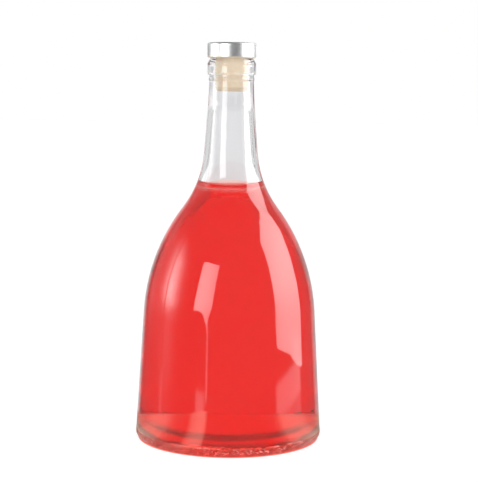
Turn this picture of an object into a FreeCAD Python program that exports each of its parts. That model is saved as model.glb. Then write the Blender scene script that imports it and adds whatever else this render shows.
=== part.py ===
import FreeCAD, Part
import math
import os

# A corked 750 ml bottle of red wine, standing on its base. Millimetres, Z up.
# The origin is on the axis, in the plane that the bottle stands on. Every piece is a
# solid of revolution about Z, drawn as a half section of (radius, height) corners.

# ---- bottle, outside ----
HEIGHT = 216.9            # standing plane to the top of the lip
BODY_R = 53.4             # body at the heel, its widest place
BODY_TAPER = 6.3          # radius that the body loses up to the shoulder corner
SHOULDER_Z = 106.0        # height of the shoulder corner
SHOULDER_RISE = 40.2      # shoulder corner up to the root of the neck
SHOULDER_BEND = 109.0     # convex arc of the bell
ROOT_BEND = 59.0          # concave arc that runs the bell into the neck
NECK_FLARE = 4.1          # radius that the neck gains down to its root
KNEE_DROP = 23.4          # lip down to the knee, where the neck's taper steepens
KNEE_FLARE = 0.3          # radius that the neck gains down to there
KNEE_BEND = 450.0
HEEL_ROUND = 3.5

# ---- bottle, base ----
RING_WIDTH = 5.5          # flat ring that the bottle stands on
RING_ROUND = 1.8          # ring into the push-up
PUSH_UP = 4.5             # hollow under the base
PUSH_UP_SLOPE = 9.0       # radial run of its sloped flank
PUSH_UP_BEND = 14.0
FLOOR = 4.8               # glass between the push-up and the wine
HEEL_FLOOR = 3.2          # glass between the standing ring and the wine
FLOOR_SPREAD = 1.25       # the floor's slope ends this far outside the standing ring's edge
HEEL_BEND = 7.8           # inside corner between floor and wall

# ---- bottle, glass walls ----
BODY_WALL = 3.1
SHOULDER_WALL = 3.3
ROOT_WALL = 4.6
NECK_WALL = 3.45          # at the top of the neck, round the bore
BORE_R = 9.15             # bore at its narrow end
BORE_MOUTH_R = 9.9        # bore at the lip: it tapers to hold the stopper
BORE_DEPTH = 30.0         # lip down to the narrow end of the bore
BORE_BEND = 60.0

# ---- finish: lip, band and transfer ring ----
BAND_STAND = 1.2          # band proud of the neck
BAND_DEPTH = 9.4          # lip down to the band's lower edge
BAND_ROUND = 1.3
CREASE_DEPTH = 3.4        # lip down to the crease between lip and band
CREASE_GROOVE = 0.25      # how deep the groove under the crease is
CREASE_WIDTH = 1.6
LIP_SLOPE = 1.7           # radius that the lip loses from the crease to its top
LIP_ROUND = 1.4
MOUTH_ROUND = 0.9
RING_DROP = 2.6           # band's lower edge down to the transfer ring
RING_STAND = 0.4          # transfer ring proud of the neck
RING_SLOPE = 1.3          # height of the ring's slopes, above and below its crest
RING_CREST_BEND = 0.7
RING_FOOT_BEND = 1.0
UNDERCUT_BEND = 0.6       # where the ring's upper slope meets the neck
BAND_UNDERSIDE = 0.2      # how far the band's lower face slopes down outwards
BAND_ROOT_BEND = 0.3      # where that face meets the neck
CREASE_BEND = 0.5
CREASE_EDGE = 0.25        # edge between crease and lip

# ---- stopper ----
STEM_LENGTH = 19.0
STEM_CLEARANCE = 0.05     # radial, between the stem and the bore
STEM_CHAMFER = 1.5        # radial run of the chamfer at the stem's end
STEM_CHAMFER_RISE = 2.4
STEM_ROUND = 0.8
CAP_HEIGHT = 8.5          # lip to the top of the stopper
CAP_EDGE = 1.3            # rounded top edge of the shell
SHELL_WALL = 0.4
SHELL_CLEARANCE = 0.05    # between the shell and the head in it
HEAD_SHOW = 0.45          # the head's rim that shows under the shell
HEAD_EDGE = 0.2           # rounded lower edge of the head
SHELL_EDGE = 0.1          # rounded edges of the shell's rim

# ---- wine ----
FILL_DROP = 73.6          # lip down to the level of the wine
WINE_CLEARANCE = 0.1      # between the wine's solid and the glass

NECK_R = BORE_R + NECK_WALL
BAND_R = NECK_R + BAND_STAND
CAP_R = BAND_R            # the stopper's shell is flush with the band

SHORTEST = 0.001          # a run or arc shorter than this is left out
FULL_TURN = 360.0


def heading(start, end):
    """Direction in the half section from one corner to the next, in radians."""
    return math.atan2(end[1] - start[1], end[0] - start[0])


def turn_at(before, corner, after):
    """Size of the turn that the outline makes at a corner, in radians."""
    turn = heading(corner, after) - heading(before, corner)
    return abs((turn + math.pi) % (2 * math.pi) - math.pi)


def along(start, end, distance):
    """Point of the half section at a distance from start towards end."""
    angle = heading(start, end)
    return (start[0] + distance * math.cos(angle), start[1] + distance * math.sin(angle))


def tangent_lengths(corners):
    """How far each corner's arc reaches along its runs.

    Two arcs that share too short a run shrink together, until they meet on it.
    """
    lengths = [0.0]
    for before, corner, after in zip(corners, corners[1:], corners[2:]):
        lengths.append(corner[2] * math.tan(turn_at(before, corner, after) / 2))
    lengths.append(0.0)
    share = [1.0] * len(corners)
    for i in range(len(corners) - 1):
        run = math.dist(corners[i][:2], corners[i + 1][:2])
        wanted = lengths[i] + lengths[i + 1]
        if wanted > run:
            share[i] = min(share[i], run / wanted)
            share[i + 1] = min(share[i + 1], run / wanted)
    return [length * part for length, part in zip(lengths, share)]


def in_section(point):
    return FreeCAD.Vector(point[0], 0, point[1])


def line(start, end):
    return Part.LineSegment(in_section(start), in_section(end)).toShape()


def rounding(before, corner, after, tangent):
    """Arc that rounds a corner, with the points where it starts and ends."""
    start = along(corner, before, tangent)
    end = along(corner, after, tangent)
    chord_middle = ((start[0] + end[0]) / 2, (start[1] + end[1]) / 2)
    rise = math.dist(start, end) / 2 * math.tan(turn_at(before, corner, after) / 4)
    middle = along(chord_middle, corner, rise)
    arc = Part.Arc(in_section(start), in_section(middle), in_section(end)).toShape()
    return start, arc, end


def section_edges(corners):
    """Lines and tangent arcs through (radius, height, bend) corners; a bend of 0 stays sharp."""
    tangents = tangent_lengths(corners)
    edges = []
    pen = corners[0][:2]
    for i in range(1, len(corners) - 1):
        start, arc, end = corners[i][:2], None, corners[i][:2]
        if tangents[i] > SHORTEST:
            start, arc, end = rounding(*corners[i - 1:i + 2], tangents[i])
        if math.dist(pen, start) > SHORTEST:
            edges.append(line(pen, start))
        if arc:
            edges.append(arc)
        pen = end
    edges.append(line(pen, corners[-1][:2]))
    return edges


def revolved(corners):
    """Solid of revolution of a half section whose first and last corners are on the axis."""
    edges = section_edges(corners)
    edges.append(line(corners[-1][:2], corners[0][:2]))
    face = Part.Face(Part.Wire(edges))
    return face.revolve(FreeCAD.Vector(0, 0, 0), FreeCAD.Vector(0, 0, 1), FULL_TURN)


def inset(before, corner, after, wall):
    """The corner moved to the glass's inside, a wall's thickness in from both of its runs."""
    normals = []
    for start, end in ((before, corner), (corner, after)):
        angle = heading(start, end) + math.pi / 2
        normals.append((math.cos(angle), math.sin(angle)))
    way = (normals[0][0] + normals[1][0], normals[0][1] + normals[1][1])
    scale = wall / (way[0] * normals[0][0] + way[1] * normals[0][1])
    return (corner[0] + way[0] * scale, corner[1] + way[1] * scale)


def bell_corners():
    """Outside of the bottle from the heel up to the neck, as plain (radius, height) corners."""
    heel = (BODY_R, 0.0)
    shoulder = (BODY_R - BODY_TAPER, SHOULDER_Z)
    root = (NECK_R + NECK_FLARE, SHOULDER_Z + SHOULDER_RISE)
    knee = (NECK_R + KNEE_FLARE, HEIGHT - KNEE_DROP)
    return heel, shoulder, root, knee


def ring_inner_radius():
    """Inner edge of the flat ring that the bottle stands on."""
    return BODY_R - HEEL_ROUND - RING_WIDTH


def base_section():
    """Underside: the push-up, then the flat ring, out to the heel."""
    ring_inner = ring_inner_radius()
    return [
        (0.0, PUSH_UP, 0.0),
        (ring_inner - PUSH_UP_SLOPE, PUSH_UP, PUSH_UP_BEND),
        (ring_inner, 0.0, RING_ROUND),
    ]


def side_section():
    """Outside: heel, body, bell and neck."""
    heel, shoulder, root, knee = bell_corners()
    return [
        (*heel, HEEL_ROUND),
        (*shoulder, SHOULDER_BEND),
        (*root, ROOT_BEND),
        (*knee, KNEE_BEND),
    ]


def finish_section():
    """Outside of the mouth: transfer ring, undercut, band, crease and sloped lip."""
    band_foot = HEIGHT - BAND_DEPTH
    ring = band_foot - RING_DROP
    crease = HEIGHT - CREASE_DEPTH
    groove_r = BAND_R - CREASE_GROOVE
    return [
        (NECK_R, ring - RING_SLOPE, RING_FOOT_BEND),
        (NECK_R + RING_STAND, ring, RING_CREST_BEND),
        (NECK_R, ring + RING_SLOPE, UNDERCUT_BEND),
        (NECK_R, band_foot - BAND_UNDERSIDE, BAND_ROOT_BEND),
        (BAND_R, band_foot, BAND_ROUND),
        (BAND_R, crease - CREASE_WIDTH, CREASE_BEND),
        (groove_r, crease - CREASE_WIDTH / 2, CREASE_BEND),
        (BAND_R, crease, CREASE_EDGE),
        (BAND_R - LIP_SLOPE, HEIGHT, LIP_ROUND),
    ]


def bore_radius(height):
    """Radius of the tapered bore at a height."""
    share = (height - HEIGHT + BORE_DEPTH) / BORE_DEPTH
    return BORE_R + (BORE_MOUTH_R - BORE_R) * share


def cavity_section(gap):
    """Inside of the glass from the mouth down to the floor, narrowed all round by a gap."""
    heel, shoulder, root, knee = bell_corners()
    bore_end = (BORE_R - gap, HEIGHT - BORE_DEPTH, BORE_BEND)
    root_in = inset(shoulder, root, knee, ROOT_WALL + gap)
    shoulder_in = inset(heel, shoulder, root, SHOULDER_WALL + gap)
    foot_r = BODY_R - BODY_TAPER * HEEL_FLOOR / SHOULDER_Z - BODY_WALL - gap
    slope_foot_r = ring_inner_radius() + FLOOR_SPREAD
    return [
        (BORE_MOUTH_R - gap, HEIGHT, MOUTH_ROUND),
        bore_end,
        (*root_in, ROOT_BEND + ROOT_WALL),
        (*shoulder_in, SHOULDER_BEND - SHOULDER_WALL),
        (foot_r, HEEL_FLOOR + gap, HEEL_BEND),
        (slope_foot_r, HEEL_FLOOR + gap, PUSH_UP_BEND),
        (slope_foot_r - PUSH_UP_SLOPE, PUSH_UP + FLOOR + gap, PUSH_UP_BEND),
        (0.0, PUSH_UP + FLOOR + gap, 0.0),
    ]


def make_bottle():
    return revolved(base_section() + side_section() + finish_section() + cavity_section(0.0))


def make_wine():
    """What fills the cavity up to the level."""
    cavity = revolved([(0.0, HEIGHT, 0.0)] + cavity_section(WINE_CLEARANCE))
    return cavity.common(Part.makeCylinder(BODY_R, HEIGHT - FILL_DROP)).Solids[0]


def make_plug():
    """Moulded stopper in one piece: a head on the lip and a stem down the bore."""
    head_r = CAP_R - SHELL_WALL - SHELL_CLEARANCE
    end = HEIGHT - STEM_LENGTH
    chamfer_top = end + STEM_CHAMFER_RISE
    top = HEIGHT + CAP_HEIGHT - SHELL_WALL - SHELL_CLEARANCE
    return revolved([
        (0.0, end, 0.0),
        (bore_radius(end) - STEM_CLEARANCE - STEM_CHAMFER, end, STEM_ROUND),
        (bore_radius(chamfer_top) - STEM_CLEARANCE, chamfer_top, STEM_ROUND),
        (bore_radius(HEIGHT) - STEM_CLEARANCE, HEIGHT, 0.0),
        (head_r, HEIGHT, HEAD_EDGE),
        (head_r, top, CAP_EDGE - SHELL_WALL - SHELL_CLEARANCE),
        (0.0, top, 0.0),
    ])


def make_shell():
    """Drawn metal cup over the stopper's head."""
    top = HEIGHT + CAP_HEIGHT
    rim = HEIGHT + HEAD_SHOW
    inside_r = CAP_R - SHELL_WALL
    return revolved([
        (0.0, top - SHELL_WALL, 0.0),
        (inside_r, top - SHELL_WALL, CAP_EDGE - SHELL_WALL),
        (inside_r, rim, SHELL_EDGE),
        (CAP_R, rim, SHELL_EDGE),
        (CAP_R, top, CAP_EDGE),
        (0.0, top, 0.0),
    ])


PIECES = {
    "glass_bottle": make_bottle,
    "red_wine": make_wine,
    "stopper_plug": make_plug,
    "stopper_shell": make_shell,
}

os.makedirs("parts", exist_ok=True)
for name, make in PIECES.items():
    shape = make()
    print(name, shape.ShapeType, shape.isValid(), round(shape.Volume / 1000, 2), "cm3")
    shape.exportStep(f"parts/{name}.step")
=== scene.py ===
import math

import bpy
import numpy as np
from mathutils import Matrix, Vector


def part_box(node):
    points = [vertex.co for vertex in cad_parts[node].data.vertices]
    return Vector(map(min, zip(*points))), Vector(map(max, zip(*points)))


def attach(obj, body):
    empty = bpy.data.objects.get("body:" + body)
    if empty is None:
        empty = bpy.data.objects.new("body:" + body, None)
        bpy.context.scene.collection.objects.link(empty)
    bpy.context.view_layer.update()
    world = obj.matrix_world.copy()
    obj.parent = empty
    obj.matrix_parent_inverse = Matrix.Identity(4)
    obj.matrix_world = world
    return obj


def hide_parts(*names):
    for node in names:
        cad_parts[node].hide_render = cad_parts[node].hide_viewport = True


# A stoppered bottle of red wine: clear glass, the wine in it, a cream stopper and its metal cap.
# The frame is in metres, with Z up and the origin on the axis where the bottle stands. The
# bottle's own sizes are in millimetres, as on its drawing, and MM turns them into metres.

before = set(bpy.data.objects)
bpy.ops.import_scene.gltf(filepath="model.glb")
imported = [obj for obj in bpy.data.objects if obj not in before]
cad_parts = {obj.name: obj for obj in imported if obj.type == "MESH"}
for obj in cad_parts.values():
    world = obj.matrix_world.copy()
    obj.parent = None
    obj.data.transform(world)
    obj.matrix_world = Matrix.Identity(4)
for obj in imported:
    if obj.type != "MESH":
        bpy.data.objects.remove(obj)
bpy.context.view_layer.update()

MM = 0.001

# ---- inside of the glass, in millimetres ----
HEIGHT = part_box("glass_bottle")[1].z / MM
BODY_R = 53.4             # outside of the body, where its side runs down to the table
BODY_TAPER = 6.3          # what the body narrows by on its way up to the shoulder
SHOULDER_Z = 106.0
SHOULDER_RISE = 40.2      # from the shoulder up to the root of the neck
SHOULDER_BEND = 109.0
ROOT_BEND = 59.0
NECK_FLARE = 4.1          # what the neck's radius is larger by at its root
KNEE_DROP = 23.4          # from the lip down to where the neck meets its finish
KNEE_FLARE = 0.3          # and at the knee, under the finish
BODY_WALL = 3.1
SHOULDER_WALL = 3.3
ROOT_WALL = 4.6
NECK_WALL = 3.45
BORE_R = 9.15
BORE_MOUTH_R = 9.9
BORE_DEPTH = 30.0
BORE_BEND = 60.0
PUSH_UP = 4.5             # height of the hollow under the bottle
PUSH_UP_SLOPE = 9.0       # width of the hollow's sloping side
PUSH_UP_BEND = 14.0
FLOOR = 4.8               # thickness of the glass over the hollow
FLOOR_SPREAD = 1.25       # what the floor's slope reaches outside the hollow's
HEEL_FLOOR = 3.2          # thickness of the glass over the ring that the bottle stands on
HEEL_BEND = 7.8
RING_INNER = 44.4         # inner radius of that ring
HALF_WALL = 1.6           # about half the body's wall

# ---- the wine, in millimetres ----
INTO_WALL = 0.12          # the wine reaches this far into the glass, so that no air shows
CAPILLARY = 2.3           # length that sets how high wine climbs a wall it wets
CLIMB = CAPILLARY * math.sqrt(2)
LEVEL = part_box("red_wine")[1].z / MM

# ---- fineness of the wine's surface ----
ARC_STEPS = 40
CURVE_STEPS = 48
TURN_STEPS = 288
SAME_POINT = 1e-4         # points nearer than this, in millimetres, are one point
CRISP_EDGE = math.radians(50)

# ---- studio, in metres ----
TABLE_R = 0.2
UNDER_R = 0.052           # the patch of table under the bottle
FLOOR_R = 8.0
ROOM_R = 2.4
CEILING_Z = 4.0
PIT_Z = -1.4              # how far down the room goes for what the glass mirrors
SOFTBOX_R = 1.0           # distance of the softboxes that the glass mirrors
SOFTBOX_BACK_R = 1.02     # and of the same two as they show through it

# ---- camera ----
EYE = Vector((0.0, -0.780, 0.198))
AIM = Vector((0.0052, 0.0, 0.1128))
LENS = 102.2              # in millimetres
SENSOR = 36.0             # the sensor's longer side, in millimetres
ROLL = math.radians(0.63)

# ---- how often light may turn: in at the glass, round inside it and the wine, and out again ----
MOST_BOUNCES = 48
MIRROR_BOUNCES = 32


def hex_linear(code):
    """Linear RGB of an sRGB colour written as #rrggbb."""
    channels = [int(code[i:i + 2], 16) / 255 for i in (1, 3, 5)]
    return [c / 12.92 if c <= 0.04045 else ((c + 0.055) / 1.055) ** 2.4 for c in channels]


def rgba(code):
    """The same colour as a colour socket takes it."""
    return (*hex_linear(code), 1.0)


# ---------------------------------------------------------------- shapes

def inset(before, corner, after, wall):
    """Corner moved inwards by a wall's thickness: along the sum of its two runs' normals."""
    before, corner, after = (np.array(p[:2]) for p in (before, corner, after))
    normals = []
    for start, end in ((before, corner), (corner, after)):
        run = (end - start) / np.linalg.norm(end - start)
        normals.append(np.array([-run[1], run[0]]))
    way = normals[0] + normals[1]
    return corner + way * wall / (way @ normals[0])


def rounded(corners):
    """Outline of (radius, height) points through (radius, height, bend) corners.

    Each corner is replaced by the arc of radius bend that touches both of its runs, at bend
    times the tangent of half the turn from the corner. Where a run is too short for the arcs at
    its two ends, both get smaller by the same share. The arc's points are its centre plus its
    radius times (cos, sin) of an angle that runs evenly from one touching point to the other.
    """
    p = np.array(corners, float)
    at, bend = p[:, :2], p[:, 2]
    run = np.diff(at, axis=0)
    length = np.linalg.norm(run, axis=1)
    unit = run / length[:, None]
    inward, outward = -unit[:-1], unit[1:]
    turn = np.pi - np.arccos(np.clip((inward * outward).sum(1), -1, 1))
    tangent = np.concatenate([[0], bend[1:-1] * np.tan(turn / 2), [0]])
    share = np.minimum(1.0, length / (tangent[:-1] + tangent[1:]))
    tangent[1:-1] *= np.minimum(share[:-1], share[1:])
    points = [at[:1]]
    for i in range(1, len(at) - 1):
        radius = tangent[i] / np.tan(turn[i - 1] / 2)
        way = inward[i - 1] + outward[i - 1]
        centre = at[i] + way / np.linalg.norm(way) * radius / np.cos(turn[i - 1] / 2)
        first = at[i] + inward[i - 1] * tangent[i] - centre
        last = at[i] + outward[i - 1] * tangent[i] - centre
        a0, a1 = np.arctan2(first[1], first[0]), np.arctan2(last[1], last[0])
        sweep = (a1 - a0 + np.pi) % (2 * np.pi) - np.pi
        angle = a0 + sweep * np.linspace(0, 1, ARC_STEPS)
        points.append(centre + radius * np.stack([np.cos(angle), np.sin(angle)], axis=1))
    points.append(at[-1:])
    outline = np.concatenate(points)
    apart = np.linalg.norm(np.diff(outline, axis=0), axis=1) > SAME_POINT
    return outline[np.concatenate([[True], apart])]


def turned(name, outline):
    """Surface of revolution: outline point (r, z) at angle a is (r cos a, r sin a, z).

    The outline is in millimetres and runs from axis to axis, counter-clockwise in the half
    section, which makes the faces point outwards. A fan of triangles closes each pole.
    """
    ring = outline[1:-1] * MM
    angle = np.arange(TURN_STEPS) * (2 * np.pi / TURN_STEPS)
    grid = np.empty((len(ring), TURN_STEPS, 3))
    grid[..., 0] = ring[:, :1] * np.cos(angle)
    grid[..., 1] = ring[:, :1] * np.sin(angle)
    grid[..., 2] = ring[:, 1:]
    poles = np.array([[0, 0, outline[0, 1] * MM], [0, 0, outline[-1, 1] * MM]])
    points = np.concatenate([grid.reshape(-1, 3), poles])
    index = np.arange(len(ring) * TURN_STEPS).reshape(len(ring), TURN_STEPS)
    after = np.roll(index, -1, axis=1)
    quads = np.stack([index[:-1], after[:-1], after[1:], index[1:]], axis=-1).reshape(-1, 4)
    first, last = len(points) - 2, len(points) - 1
    start_fan = np.stack([after[0], index[0], np.full(TURN_STEPS, first)], axis=-1)
    end_fan = np.stack([index[-1], after[-1], np.full(TURN_STEPS, last)], axis=-1)
    faces = quads.tolist() + start_fan.tolist() + end_fan.tolist()
    mesh = bpy.data.meshes.new(name)
    mesh.from_pydata(points.tolist(), [], faces)
    mesh.polygons.foreach_set("use_smooth", np.ones(len(faces), bool))
    mesh.set_sharp_from_angle(angle=CRISP_EDGE)
    mesh.update()
    piece = bpy.data.objects.new(name, mesh)
    bpy.context.scene.collection.objects.link(piece)
    return piece


def cavity_corners(grow):
    """Inside of the glass from the floor up to the lip, moved into the glass by grow."""
    neck_r = BORE_R + NECK_WALL
    heel = (BODY_R, 0.0)
    shoulder = (BODY_R - BODY_TAPER, SHOULDER_Z)
    root = (neck_r + NECK_FLARE, SHOULDER_Z + SHOULDER_RISE)
    knee = (neck_r + KNEE_FLARE, HEIGHT - KNEE_DROP)
    foot_r = BODY_R - BODY_TAPER * HEEL_FLOOR / SHOULDER_Z - BODY_WALL + grow
    slope_foot = RING_INNER + FLOOR_SPREAD
    middle_z = PUSH_UP + FLOOR - grow
    return [
        (0.0, middle_z, 0.0),
        (slope_foot - PUSH_UP_SLOPE, middle_z, PUSH_UP_BEND),
        (slope_foot, HEEL_FLOOR - grow, PUSH_UP_BEND),
        (foot_r, HEEL_FLOOR - grow, HEEL_BEND),
        (*inset(heel, shoulder, root, SHOULDER_WALL - grow), SHOULDER_BEND - SHOULDER_WALL),
        (*inset(shoulder, root, knee, ROOT_WALL - grow), ROOT_BEND + ROOT_WALL),
        (BORE_R + grow, HEIGHT - BORE_DEPTH, BORE_BEND),
        (BORE_MOUTH_R + grow, HEIGHT, 0.0),
    ]


def above_heel(outline):
    """The part of an outline from its widest point up, where each height has one radius."""
    return outline[np.argmax(outline[:, 0]):]


def wine_outline():
    """The cavity's outline up to the top of the meniscus, then the meniscus in to the axis.

    The meniscus is the curve in which a liquid climbs a wall that it wets. With a for CAPILLARY
    and top for CLIMB, which is a sqrt(2), the height h is reached at this distance from the wall:
    a (arccosh(2a / h) - arccosh(2a / top)) - sqrt(4 a^2 - h^2) + sqrt(4 a^2 - top^2).
    """
    wall = rounded(cavity_corners(INTO_WALL))
    upper = above_heel(wall)
    wall_r = np.interp(LEVEL + CLIMB, upper[:, 1], upper[:, 0])
    wetted = wall[wall[:, 1] < LEVEL + CLIMB]

    def reach(h):
        return CAPILLARY * np.arccosh(2 * CAPILLARY / h) - np.sqrt(4 * CAPILLARY**2 - h**2)

    nearly_flat = 0.004
    height = CLIMB * np.geomspace(1, nearly_flat, CURVE_STEPS)
    radius = wall_r - (reach(height) - reach(CLIMB))
    curve = np.stack([radius, LEVEL + height], axis=1)[radius > 0]
    return np.concatenate([wetted, curve, [(0.0, curve[-1, 1])]])


# ---------------------------------------------------------------- materials

def add(tree, kind, settings=None, inputs=None):
    """A node with its settings and inputs; an input that is a socket is linked, a value is set."""
    node = tree.nodes.new(kind)
    for key, value in (settings or {}).items():
        setattr(node, key, value)
    for key, value in (inputs or {}).items():
        if isinstance(value, bpy.types.NodeSocket):
            tree.links.new(value, node.inputs[key])
        else:
            node.inputs[key].default_value = value
    return node


def material(name):
    """A new material and its empty node tree."""
    made = bpy.data.materials.new(name)
    made.use_nodes = True
    made.node_tree.nodes.clear()
    return made, made.node_tree


def wetted_wall(tree, radius, height):
    """1 on the inside of the wall where the wine wets it, 0 on every other face of the glass.

    A point counts as inside when its radius is less than that of the cavity's outline moved
    half a wall into the glass, read off at the point's height. It counts as wetted between the
    middle of the floor's glass, which slopes down round the push-up, and the meniscus's top.
    """
    readings = 30
    middle = above_heel(rounded(cavity_corners(HALF_WALL)))
    heights = np.linspace(HEEL_FLOOR - HALF_WALL, LEVEL + CLIMB, readings)
    radii = np.interp(heights, middle[:, 1], middle[:, 0])
    top = heights[-1]
    share = add(tree, "ShaderNodeMath", {"operation": "DIVIDE"}, {0: height, 1: top * MM})
    line = add(tree, "ShaderNodeFloatCurve", None, {"Value": share.outputs[0]})
    points = line.mapping.curves[0].points
    while len(points) < readings:
        points.new(0.5, 0.5)
    for point, z, r in zip(points, heights, radii):
        point.location = (z / top, r / BODY_R)
        point.handle_type = "VECTOR"
    line.mapping.update()
    reach = add(tree, "ShaderNodeMath", {"operation": "MULTIPLY"},
                {0: line.outputs["Value"], 1: BODY_R * MM})
    within = add(tree, "ShaderNodeMath", {"operation": "LESS_THAN"},
                 {0: radius, 1: reach.outputs[0]})
    below = add(tree, "ShaderNodeMath", {"operation": "LESS_THAN"}, {0: height, 1: top * MM})
    under = add(tree, "ShaderNodeMapRange", {"clamp": True}, {
        "Value": radius,
        "From Min": (RING_INNER - PUSH_UP_SLOPE) * MM, "From Max": RING_INNER * MM,
        "To Min": (PUSH_UP + FLOOR / 2) * MM, "To Max": (HEEL_FLOOR - HALF_WALL) * MM})
    above = add(tree, "ShaderNodeMath", {"operation": "GREATER_THAN"},
                {0: height, 1: under.outputs["Result"]})
    between = add(tree, "ShaderNodeMath", {"operation": "MULTIPLY"},
                  {0: below.outputs[0], 1: above.outputs[0]})
    return add(tree, "ShaderNodeMath", {"operation": "MULTIPLY"},
               {0: within.outputs[0], 1: between.outputs[0]})


def flint_glass():
    """Clear soda-lime glass, blown in a mould and fire-polished.

    The polish leaves it mirror smooth, but the wall is never quite even: slow waves, a few
    centimetres long, bend the edges of what it mirrors. The heel keeps the mould's stippling,
    which breaks the light there into dark and bright specks. A trace of grey in the glass shows
    where the eye looks along the wall. Where wine wets the wall the two bend light nearly alike,
    so that face mirrors next to nothing.
    """
    wave, wave_depth = 45.0 * MM, 0.4 * MM
    speck, speck_depth = 2.2 * MM, 5.0 * MM      # both coarser than the real ones, to show
    heel_r, heel_edge_r = 50.0 * MM, 51.2 * MM   # the specks set in between these two radii
    heel_z, heel_end_z = 3.0 * MM, 6.0 * MM      # and fade out between these two heights
    made, tree = material("flint_glass_blown")
    place = add(tree, "ShaderNodeTexCoord").outputs["Object"]
    height = add(tree, "ShaderNodeSeparateXYZ", None, {0: place}).outputs["Z"]
    flat = add(tree, "ShaderNodeVectorMath", {"operation": "MULTIPLY"},
               {0: place, 1: (1.0, 1.0, 0.0)})
    radius = add(tree, "ShaderNodeVectorMath", {"operation": "LENGTH"},
                 {0: flat.outputs[0]}).outputs["Value"]
    waves = add(tree, "ShaderNodeTexNoise", None,
                {"Vector": place, "Scale": 1 / wave, "Detail": 1.5})
    bump = add(tree, "ShaderNodeBump", None,
               {"Height": waves.outputs["Fac"], "Strength": 0.35, "Distance": wave_depth})
    outside = add(tree, "ShaderNodeMapRange", {"clamp": True}, {
        "Value": radius, "From Min": heel_r, "From Max": heel_edge_r,
        "To Min": 0.0, "To Max": 1.0})
    low = add(tree, "ShaderNodeMapRange", {"clamp": True}, {
        "Value": height, "From Min": heel_z, "From Max": heel_end_z,
        "To Min": outside.outputs["Result"], "To Max": 0.0})
    specks = add(tree, "ShaderNodeTexNoise", None,
                 {"Vector": place, "Scale": 1 / speck, "Detail": 2.0})
    bump = add(tree, "ShaderNodeBump", None, {
        "Height": specks.outputs["Fac"], "Strength": low.outputs["Result"],
        "Distance": speck_depth, "Normal": bump.outputs["Normal"]})
    wet = wetted_wall(tree, radius, height)
    mirror = add(tree, "ShaderNodeMath", {"operation": "SUBTRACT"}, {0: 1.0, 1: wet.outputs[0]})
    glass = add(tree, "ShaderNodeBsdfPrincipled", None, {
        "Base Color": rgba("#fefeff"), "Roughness": 0.0, "IOR": 1.52,
        "Transmission Weight": 1.0, "Specular Tint": mirror.outputs[0],
        "Normal": bump.outputs["Normal"]})
    grey = add(tree, "ShaderNodeVolumeAbsorption", None,
               {"Color": rgba("#101412"), "Density": 8.0})
    add(tree, "ShaderNodeOutputMaterial", None,
        {"Surface": glass.outputs["BSDF"], "Volume": grey.outputs["Volume"]})
    return made


def red_wine():
    """Bright, filtered red wine: it lets the red through and stops green and blue.

    Its skin mirrors nothing where it wets the glass, and half as much as clear water where it is
    bare, at the attribute of that name. The finest lees scatter a few hundredths of the light,
    which keeps the deep red from going black-edged. In a thin band at the level less light passes
    and more of the pale base shows: a painted highlight, which gives the eye a paler rim there.
    """
    bare_mirror = 0.5
    # The rim band is a painted highlight: less light passes there, and more of the pale base shows.
    clear_share, painted_rim_share = 0.93, 0.21
    painted_rim_start, painted_rim_full = (LEVEL - 2.2) * MM, (LEVEL - 0.4) * MM
    painted_rim_fade, painted_rim_end = (LEVEL + 0.2) * MM, (LEVEL + 0.9) * MM
    made, tree = material("red_wine_clear")
    bare = add(tree, "ShaderNodeAttribute", {"attribute_name": "bare"})
    mirror = add(tree, "ShaderNodeMath", {"operation": "MULTIPLY"},
                 {0: bare.outputs["Fac"], 1: bare_mirror})
    place = add(tree, "ShaderNodeTexCoord")
    height = add(tree, "ShaderNodeSeparateXYZ", None, {0: place.outputs["Object"]}).outputs["Z"]
    below = add(tree, "ShaderNodeMapRange", {"clamp": True}, {
        "Value": height, "From Min": painted_rim_start, "From Max": painted_rim_full,
        "To Min": 0.0, "To Max": painted_rim_share})
    above = add(tree, "ShaderNodeMapRange", {"clamp": True}, {
        "Value": height, "From Min": painted_rim_fade, "From Max": painted_rim_end,
        "To Min": 1.0, "To Max": 0.0})
    painted_rim_highlight = add(tree, "ShaderNodeMath", {"operation": "MULTIPLY"},
              {0: below.outputs["Result"], 1: above.outputs["Result"]})
    clear = add(tree, "ShaderNodeMath", {"operation": "SUBTRACT"},
                {0: clear_share, 1: painted_rim_highlight.outputs[0]})
    liquid = add(tree, "ShaderNodeBsdfPrincipled", None, {
        "Base Color": rgba("#fcdcd0"), "Roughness": 0.0, "IOR": 1.344,
        "Transmission Weight": clear.outputs[0], "Specular Tint": mirror.outputs[0]})
    dye = add(tree, "ShaderNodeVolumeAbsorption", None,
              {"Color": rgba("#ff3800"), "Density": 200.0})
    add(tree, "ShaderNodeOutputMaterial", None,
        {"Surface": liquid.outputs["BSDF"], "Volume": dye.outputs["Volume"]})
    return made


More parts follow.
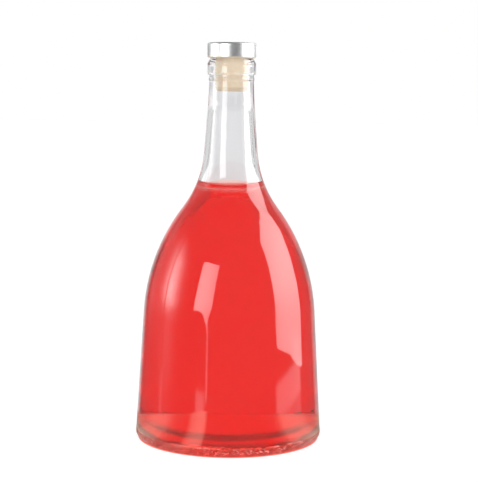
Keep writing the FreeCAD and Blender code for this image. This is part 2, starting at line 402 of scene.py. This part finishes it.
def stopper_polymer():
    """Cream synthetic cork, moulded from foamed polymer.

    The foam's skin gives the eye a matt cream with a faint, close grain, and lets a little light
    into its edges.
    """
    grain, grain_depth = 1.2 * MM, 0.2 * MM      # coarser than the foam's cells, to show
    tones = ((0.3, "#f9dfbc"), (0.7, "#fdecd2"))
    light_spread = tuple(depth * MM for depth in (4.0, 2.0, 1.0))    # of red, green and blue
    made, tree = material("synthetic_cork_moulded")
    place = add(tree, "ShaderNodeTexCoord")
    cells = add(tree, "ShaderNodeTexNoise", None,
                {"Vector": place.outputs["Object"], "Scale": 1 / grain, "Detail": 3.0})
    tone = add(tree, "ShaderNodeValToRGB", None, {"Fac": cells.outputs["Fac"]})
    for stop, (position, colour) in zip(tone.color_ramp.elements, tones):
        stop.position = position
        stop.color = rgba(colour)
    bump = add(tree, "ShaderNodeBump", None,
               {"Height": cells.outputs["Fac"], "Strength": 0.25, "Distance": grain_depth})
    skin = add(tree, "ShaderNodeBsdfPrincipled", None, {
        "Base Color": tone.outputs["Color"], "Roughness": 0.55, "IOR": 1.49,
        "Subsurface Weight": 0.15, "Subsurface Radius": light_spread,
        "Subsurface Scale": 1.0, "Normal": bump.outputs["Normal"]})
    add(tree, "ShaderNodeOutputMaterial", None, {"Surface": skin.outputs["BSDF"]})
    return made


def drawn_aluminium():
    """Bright aluminium, drawn into a cup.

    The tool leaves fine rings round the cup, which spread what it mirrors up and down and give
    the eye a soft, satin mirror.
    """
    ring_pitch, ring_depth = MM / 6, 0.05 * MM
    ring_run = 25.0 * MM                         # how far round the cup a ring stays even
    made, tree = material("aluminium_drawn_bright")
    place = add(tree, "ShaderNodeTexCoord")
    squash = add(tree, "ShaderNodeMapping", None, {
        "Vector": place.outputs["Object"], "Scale": (1 / ring_run, 1 / ring_run, 1 / ring_pitch)})
    rings = add(tree, "ShaderNodeTexNoise", None,
                {"Vector": squash.outputs["Vector"], "Scale": 1.0, "Detail": 2.0})
    rough = add(tree, "ShaderNodeMapRange", None,
                {"Value": rings.outputs["Fac"], "To Min": 0.34, "To Max": 0.42})
    bump = add(tree, "ShaderNodeBump", None,
               {"Height": rings.outputs["Fac"], "Strength": 0.08, "Distance": ring_depth})
    metal = add(tree, "ShaderNodeBsdfPrincipled", None, {
        "Base Color": rgba("#f2f3f4"), "Metallic": 1.0,
        "Roughness": rough.outputs["Result"], "Normal": bump.outputs["Normal"]})
    add(tree, "ShaderNodeOutputMaterial", None, {"Surface": metal.outputs["BSDF"]})
    return made


def painted_glow(name, colour, sampling):
    """A lamp's face: even light of one colour, as strong as the mesh's radiance attribute says."""
    made, tree = material(name)
    level = add(tree, "ShaderNodeAttribute", {"attribute_name": "radiance"})
    glow = add(tree, "ShaderNodeEmission", None,
               {"Color": rgba(colour), "Strength": level.outputs["Fac"]})
    add(tree, "ShaderNodeOutputMaterial", None, {"Surface": glow.outputs["Emission"]})
    made.cycles.emission_sampling = sampling
    return made


def lit_acrylic():
    """Opal acrylic lit from below: a white that glows evenly, matt enough to take faint shade."""
    made, tree = material("white_light_table")
    level = add(tree, "ShaderNodeAttribute", {"attribute_name": "radiance"})
    glow = add(tree, "ShaderNodeEmission", None, {"Strength": level.outputs["Fac"]})
    matt = add(tree, "ShaderNodeBsdfDiffuse", None, {"Color": rgba("#707070")})
    both = add(tree, "ShaderNodeAddShader", None, {0: glow.outputs[0], 1: matt.outputs[0]})
    add(tree, "ShaderNodeOutputMaterial", None, {"Surface": both.outputs["Shader"]})
    return made


# ---------------------------------------------------------------- pieces

def dress(node, finish):
    """A CAD node keeps its shape and gets the real finish."""
    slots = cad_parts[node].data.materials
    slots.clear()
    slots.append(finish)


def make_wine():
    """The wine, with bare at 1 on the faces of its top that touch air and 0 where it wets glass.

    A face above the level is bare when it looks up or in towards the axis.
    """
    looks_up = 0.9
    piece = turned("wine_fill", wine_outline())
    mesh = piece.data
    centres = np.empty(len(mesh.polygons) * 3)
    mesh.polygons.foreach_get("center", centres)
    normals = np.empty(len(mesh.polygons) * 3)
    mesh.polygons.foreach_get("normal", normals)
    centres, normals = centres.reshape(-1, 3) / MM, normals.reshape(-1, 3)
    inward = (normals[:, :2] * centres[:, :2]).sum(1) < 0
    upward = normals[:, 2] > looks_up
    bare = (centres[:, 2] > LEVEL) & (inward | upward)
    layer = mesh.attributes.new("bare", "FLOAT", "FACE")
    layer.data.foreach_set("value", bare.astype(np.float32))
    mesh.materials.append(red_wine())
    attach(piece, "root")
    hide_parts("red_wine")


# ---------------------------------------------------------------- studio

# The bottle stands on a lit table in a round, pale room with two softboxes. Glass shows its
# surroundings twice, mirrored and through itself, and each of the two has its own wall, ceiling
# and softboxes, which the other kind of ray and the camera pass by. Azimuths are in degrees
# round the bottle: 0 is towards the camera, and positive is to the camera's right.
HIDDEN = ("camera", "diffuse", "shadow")
MIRRORED = HIDDEN + ("transmission",)
THROUGH = HIDDEN + ("glossy",)
FULL_TURN = np.arange(0, 361, 3.0)
FINE_TURN = np.arange(-180, 180.5, 0.5)

# Heights of the wall's rows of points: 50 mm apart, and 10 mm apart where the low cards stand.
WALL_HEIGHT = np.concatenate([np.linspace(PIT_Z, -0.5, 19), np.linspace(-0.48, 0.3, 79),
                              np.linspace(0.35, CEILING_Z, 74)])[:, None]

# Light of the table under the bottle, as (radius in millimetres, radiance). The red glow is a
# painted pool of light cast through the wine, with painted shade under the ring it stands on.
UNDER_LIGHT = [(0, 1.3), (44, 1.3), (48, 1.0), (52, 0.9)]

# The tall lit strip at the left: its middle, its width, and (height, radiance) up the strip.
STRIP_AZIMUTH = -89
STRIP_WIDTH = 13.0
STRIP_LIGHT = [(-0.4, 0.2), (-0.3, 0.3), (-0.22, 0.6), (-0.1, 0.8), (0.05, 2.0), (0.3, 6.5),
               (0.55, 7.0), (0.8, 6.0), (1.07, 5.0), (1.3, 2.5), (1.5, 1.0), (1.8, 0.0)]

# White cards at the wall. Each is radiance, then the azimuths of its two edges and how softly
# they fade, then the heights of its bottom and top and how softly those fade.
CARDS = (
    (0.3, -138, -104, 10, -0.12, 1.2, 0.3),
    (0.5, -98, -92, 2, -0.4, -0.25, 0.04),
    (2.3, -28.8, -26.8, 1, -0.23, -0.07, 0.01),
    (1.7, -41, -30, 4, -0.27, -0.21, 0.02),
    (1.9, 62, 104, 5, -0.31, -0.225, 0.02),
    (0.85, 60, 104, 5, -0.37, -0.31, 0.02),
)

# Glare of the lamps on the table round the bottle: (azimuth, radiance), and how far it spreads,
# as (azimuth, radius in metres). It fades towards the bottle in rings of (radius, share).
GLARE_LIGHT = [(-119, 0.5), (-106, 0.7), (-100, 0.7), (-93, 1.35), (-87, 1.8), (-80, 2.2),
               (-69, 2.1), (-64, 1.2), (-59, 0.8), (-54, 0.45), (-44, 0.3), (-40, 1.9),
               (-36, 2.7), (-31, 3.2), (-26, 3.1), (-22, 0.15), (40, 0.1), (50, 0.3), (55, 0.9),
               (61, 2.4), (66, 2.6), (71, 2.6), (82, 2.2), (88, 1.8), (94, 1.1), (101, 0.6),
               (130, 0.6)]
GLARE_SPREAD = [(-127, 0.09), (-113, 0.107), (-96, 0.14), (-80, 0.168), (-54, 0.212),
                (-42, 0.229), (-31, 0.262), (20, 0.255), (38, 0.237), (55, 0.215), (73, 0.186),
                (88, 0.16), (98, 0.142), (109, 0.121), (119, 0.102), (127, 0.087)]
GLARE_RINGS = [(0.0535, 0.12), (0.057, 0.3), (0.062, 1.0)]
WHOLE_LIGHT = 1.0         # share at the outer edge of the spread

# The softboxes, row by row: height, azimuths of the left and right edges, radiance. The long one
# at the right has a slanted foot, and the small one at the left stands on a narrow lit post.
SOFTBOXES = {
    "softbox_right": [
        (-0.080, 105, 107.5, 4.8), (-0.068, 95, 107.5, 5.0), (-0.045, 85, 107.5, 5.2),
        (-0.025, 64, 107.5, 5.3), (0.0, 62.5, 107.5, 5.4), (0.10, 62.5, 108, 5.8),
        (0.35, 62.5, 110, 7.4), (0.60, 62.5, 119, 7.4), (0.98, 62.5, 117, 6.5),
        (1.20, 80, 115, 6.0)],
    "softbox_left": [
        (0.010, -29.2, -27.8, 4.0), (0.125, -36.5, -24.9, 5.5), (0.132, -47, -24.5, 5.8),
        (0.203, -46.5, -21.8, 6.6), (0.725, -42, -16.5, 6.6)],
}

# How bright a softbox is across its width, as (share of the width from the left, share of the
# light), and the share of its light that shows through the glass.
SOFTBOX_SIDES = [(0, 0.85), (0.15, 1.0), (0.5, 1.0), (1, 0.68)]
SOFTBOX_THROUGH = 0.4


def along(table, place):
    """Value at a place, on straight lines between a table's (place, value) pairs."""
    places, values = np.array(table).T
    return np.interp(place, places, values)


def around(radius, height, azimuth):
    """Points at a radius and height: (r sin a, -r cos a, z), with the azimuth for a."""
    a = np.radians(azimuth)
    return np.stack(np.broadcast_arrays(radius * np.sin(a), -radius * np.cos(a), height), axis=-1)


def band(value, low, high, soft):
    """1 from low to high, with a straight fade, soft wide, across each of the two ends."""
    rise = np.clip((value - low) / soft + 0.5, 0, 1)
    fall = np.clip((high - value) / soft + 0.5, 0, 1)
    return rise * fall


def sheet(name, grid, radiance, finish, unseen):
    """Staging surface of quads on a grid of points, with the radiance at each as an attribute.

    unseen names the kinds of ray that pass the sheet by.
    """
    rows, columns = grid.shape[:2]
    index = np.arange(rows * columns).reshape(rows, columns)
    quads = np.stack([index[:-1, :-1], index[:-1, 1:], index[1:, 1:], index[1:, :-1]], axis=-1)
    mesh = bpy.data.meshes.new(name)
    mesh.from_pydata(grid.reshape(-1, 3).tolist(), [], quads.reshape(-1, 4).tolist())
    mesh.materials.append(finish)
    level = np.broadcast_to(radiance, (rows, columns)).astype(np.float32)
    layer = mesh.attributes.new("radiance", "FLOAT", "POINT")
    layer.data.foreach_set("value", level.ravel())
    piece = bpy.data.objects.new(name, mesh)
    bpy.context.scene.collection.objects.link(piece)
    for kind in unseen:
        setattr(piece, "visible_" + kind, False)


def make_table():
    """The table round the bottle, a painted red pool of light under it, and the floor beyond."""
    white = lit_acrylic()
    # The patch under the bottle glows red: a painted pool of light cast through the wine, with
    # painted shade under the standing ring.
    painted_wine_glow = painted_glow("table_lit_through_wine", "#ff8072", "AUTO")
    table_light = 0.9
    only_mirrors = ("glossy",)
    top = around(np.array([[UNDER_R], [TABLE_R]]), 0.0, FULL_TURN)
    sheet("table_top", top, table_light, white, only_mirrors)
    ring_count = 53                              # one each millimetre
    rings = np.linspace(0.0, UNDER_R, ring_count)[:, None]
    under = around(rings, 0.0, FULL_TURN)
    sheet("table_under", under, along(UNDER_LIGHT, rings / MM), painted_wine_glow, ())
    floor = around(np.array([[TABLE_R], [FLOOR_R]]), 0.0, FULL_TURN)
    sheet("floor", floor, table_light, white, only_mirrors)


def make_world():
    """Plain white beyond everything, which the camera sees behind the bottle."""
    world = bpy.data.worlds.new("white_room")
    world.use_nodes = True
    background = world.node_tree.nodes["Background"]
    background.inputs["Color"].default_value = rgba("#ffffff")
    background.inputs["Strength"].default_value = 1.0
    bpy.context.scene.world = world


def mirrored_wall():
    """What the glass mirrors of the wall: a dim room, lighter at the back, the strip, the cards.

    The light is a sum: the room's own, more of it at the back on either side, the strip as a
    bell curve round its azimuth with a thin dark line in it, and each card.
    """
    everywhere, back_left, back_right = 0.15, 0.7, 0.5
    line_shade = 0.85
    room = everywhere + back_left * (1 - band(FINE_TURN, -150, 180, 12))
    room = room + back_right * (1 - band(FINE_TURN, -180, 142, 6))
    strip = np.exp(-((FINE_TURN - STRIP_AZIMUTH) / STRIP_WIDTH) ** 2)
    strip = strip * (1 - line_shade * band(FINE_TURN, -97, -95, 1))
    room = room + strip * along(STRIP_LIGHT, WALL_HEIGHT)
    for radiance, left, right, side_fade, bottom, top, end_fade in CARDS:
        across = band(FINE_TURN, left, right, side_fade)
        room = room + radiance * across * band(WALL_HEIGHT, bottom, top, end_fade)
    return room


def wall_through(behind):
    """What shows of the wall through the glass: its light at each height and azimuth.

    It is bright above the table on the camera's side, plain at the sides, and dimmer behind the
    bottle, where it gets lighter higher up. Two dark flags stand low at the back.
    """
    everywhere, at_sides, at_front, at_back, high_at_back = 0.7, 0.3, 1.1, 0.09, 0.55
    flag_right, flag_left = 0.6, 0.35
    front = band(FINE_TURN, -60, 60, 30)
    over_table = band(WALL_HEIGHT, 0.15, 9, 0.2)
    high_up = band(WALL_HEIGHT, 0.35, 9, 0.1)
    low_down = band(WALL_HEIGHT, 0.0, 0.4, 0.1)
    light = everywhere + (1 - behind) * (at_sides + at_front * front) * over_table
    light = light + behind * (at_back + high_at_back * high_up)
    flags = flag_right * band(FINE_TURN, 126, 146, 4) + flag_left * band(FINE_TURN, -146, -128, 4)
    return light * (1 - flags * low_down)


def make_room(glow):
    """Wall, floor, ceiling and pit: those that the glass mirrors and those that show through it."""
    wall = around(ROOM_R, WALL_HEIGHT, FINE_TURN)
    sheet("room_wall_mirrored", wall, mirrored_wall(), glow, MIRRORED)
    behind = 1 - band(FINE_TURN, -138, 138, 14)
    sheet("room_wall_through", wall, wall_through(behind), glow, THROUGH)
    just_above_table = 0.0003
    floor_light, back_shade = 1.03, 0.28
    rings = np.array([[UNDER_R], [1.5], [1.8], [ROOM_R]])
    shaded = np.array([[0.0], [0.0], [1.0], [1.0]])
    floor = around(rings, just_above_table, FINE_TURN)
    sheet("floor_through", floor, floor_light - back_shade * behind * shaded, glow, THROUGH)
    span = np.array([[0.0], [ROOM_R]])
    for name, height, radiance, unseen in (
            ("room_ceiling", CEILING_Z, 0.1, MIRRORED),
            ("ceiling_through", CEILING_Z, 0.6, THROUGH),
            ("room_pit", PIT_Z, 0.3, MIRRORED)):
        sheet(name, around(span, height, FULL_TURN), radiance, glow, unseen)


def make_glare():
    """The lamps' warm glare on the table, which the glass mirrors in its lower edge."""
    above_floor_sheet = 0.0006
    radii, shares = np.array(GLARE_RINGS).T
    rings = [np.full(FINE_TURN.shape, radius) for radius in radii]
    rings.append(along(GLARE_SPREAD, FINE_TURN))
    shares = np.append(shares, WHOLE_LIGHT)[:, None]
    grid = around(np.array(rings), above_floor_sheet, FINE_TURN)
    warm = painted_glow("warm_table_glow", "#fff4de", "NONE")
    sheet("table_glare", grid, along(GLARE_LIGHT, FINE_TURN) * shares, warm, MIRRORED)


def make_softboxes(glow):
    """Each softbox's face on a cylinder round the bottle, a little dimmer towards its edges."""
    row_count, column_count = 60, 31
    across = np.linspace(0, 1, column_count)
    for name, rows in SOFTBOXES.items():
        rows = np.array(rows)
        height = np.linspace(rows[0, 0], rows[-1, 0], row_count)
        height = np.unique(np.concatenate([height, rows[:, 0]]))
        left, right, level = (np.interp(height, rows[:, 0], rows[:, i])[:, None]
                              for i in (1, 2, 3))
        azimuth = left + (right - left) * across
        light = level * along(SOFTBOX_SIDES, across)
        mirrored = around(SOFTBOX_R, height[:, None], azimuth)
        sheet(name, mirrored, light, glow, MIRRORED)
        through = around(SOFTBOX_BACK_R, height[:, None], azimuth)
        sheet(name + "_through", through, light * SOFTBOX_THROUGH, glow, THROUGH)


def make_camera():
    """The camera at EYE, looking at AIM, with ROLL about its own axis."""
    lens = bpy.data.cameras.new("camera")
    lens.sensor_width = SENSOR
    lens.lens = LENS
    eye = bpy.data.objects.new("camera", lens)
    look = (AIM - EYE).normalized()
    side = look.cross(Vector((0, 0, 1))).normalized()
    up = side.cross(look)
    turn = Matrix((side, up, -look)).transposed().to_4x4()
    eye.matrix_world = Matrix.Translation(EYE) @ turn @ Matrix.Rotation(ROLL, 4, "Z")
    bpy.context.scene.collection.objects.link(eye)
    bpy.context.scene.camera = eye


dress("glass_bottle", flint_glass())
dress("stopper_plug", stopper_polymer())
dress("stopper_shell", drawn_aluminium())
make_wine()
make_table()
make_world()
room_glow = painted_glow("room_glow", "#ffffff", "NONE")
make_room(room_glow)
make_glare()
make_softboxes(room_glow)
make_camera()
scene = bpy.context.scene
scene.view_settings.view_transform = "Standard"
scene.cycles.max_bounces = MOST_BOUNCES
scene.cycles.transmission_bounces = MOST_BOUNCES
scene.cycles.glossy_bounces = MIRROR_BOUNCES
